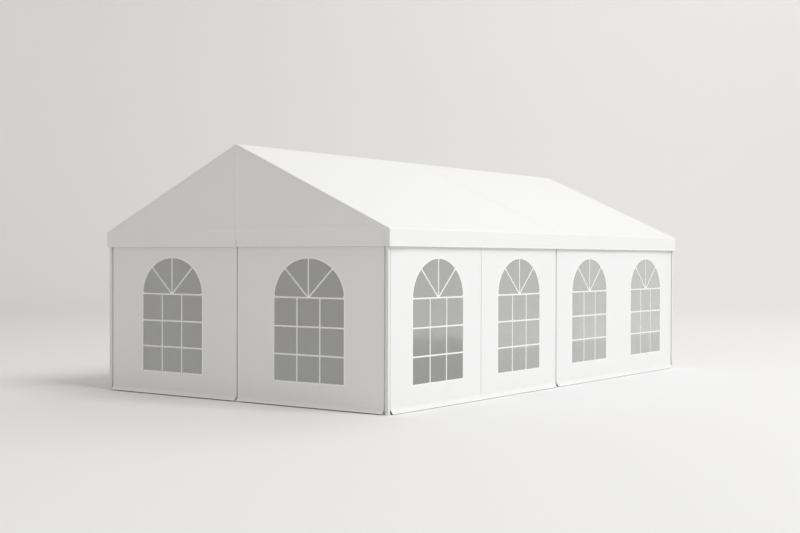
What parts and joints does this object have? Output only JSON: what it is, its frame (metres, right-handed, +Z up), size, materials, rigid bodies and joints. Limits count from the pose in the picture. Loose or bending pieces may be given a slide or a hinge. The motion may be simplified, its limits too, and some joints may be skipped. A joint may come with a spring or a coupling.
{
  "type": "marquee tent",
  "caption": "Closed frame marquee tent with a pitched white fabric roof, hanging valances, flared ground skirts and arched clear film windows in its side and gable walls.",
  "frame": {"origin": "on the ground under the middle of the tent", "axes": "+Y along the ridge towards the back gable, +X towards the right long side, +Z up"},
  "size_m": [4.76, 8.03, 3.2199],
  "materials": {
    "white_fabric": "white coated woven sheet, satin",
    "frame_paint": "white powder coat, satin",
    "window_film": "clear flexible film with a grey tint"
  },
  "bodies": {
    "root": {"corner_post_front_left": "frame_paint", "corner_post_front_right": "frame_paint", "corner_post_back_left": "frame_paint", "corner_post_back_right": "frame_paint", "side_post_left": "frame_paint", "side_post_right": "frame_paint", "gable_post_front": "frame_paint", "gable_post_back": "frame_paint", "eave_beam_left_front": "frame_paint", "eave_beam_left_back": "frame_paint", "eave_beam_right_front": "frame_paint", "eave_beam_right_back": "frame_paint", "gable_beam_front_left": "frame_paint", "gable_beam_front_right": "frame_paint", "gable_beam_back_left": "frame_paint", "gable_beam_back_right": "frame_paint", "rafter_front_left": "frame_paint", "rafter_front_right": "frame_paint", "rafter_middle_left": "frame_paint", "rafter_middle_right": "frame_paint", "rafter_back_left": "frame_paint", "rafter_back_right": "frame_paint", "ridge_beam_front": "frame_paint", "ridge_beam_back": "frame_paint", "roof_sheet_left": "white_fabric", "roof_sheet_right": "white_fabric", "valance_left": "white_fabric", "valance_right": "white_fabric", "gable_sheet_front": "white_fabric", "gable_sheet_back": "white_fabric", "side_wall_left_front": "white_fabric", "side_wall_left_back": "white_fabric", "side_wall_right_front": "white_fabric", "side_wall_right_back": "white_fabric", "gable_wall_front_left": "white_fabric", "gable_wall_front_right": "white_fabric", "gable_wall_back_left": "white_fabric", "gable_wall_back_right": "white_fabric", "window_left_1": "window_film", "window_left_2": "window_film", "window_left_3": "window_film", "window_left_4": "window_film", "window_right_1": "window_film", "window_right_2": "window_film", "window_right_3": "window_film", "window_right_4": "window_film", "window_front_left": "window_film", "window_front_right": "window_film", "window_back_left": "window_film", "window_back_right": "window_film"}
  },
  "joints": []
}
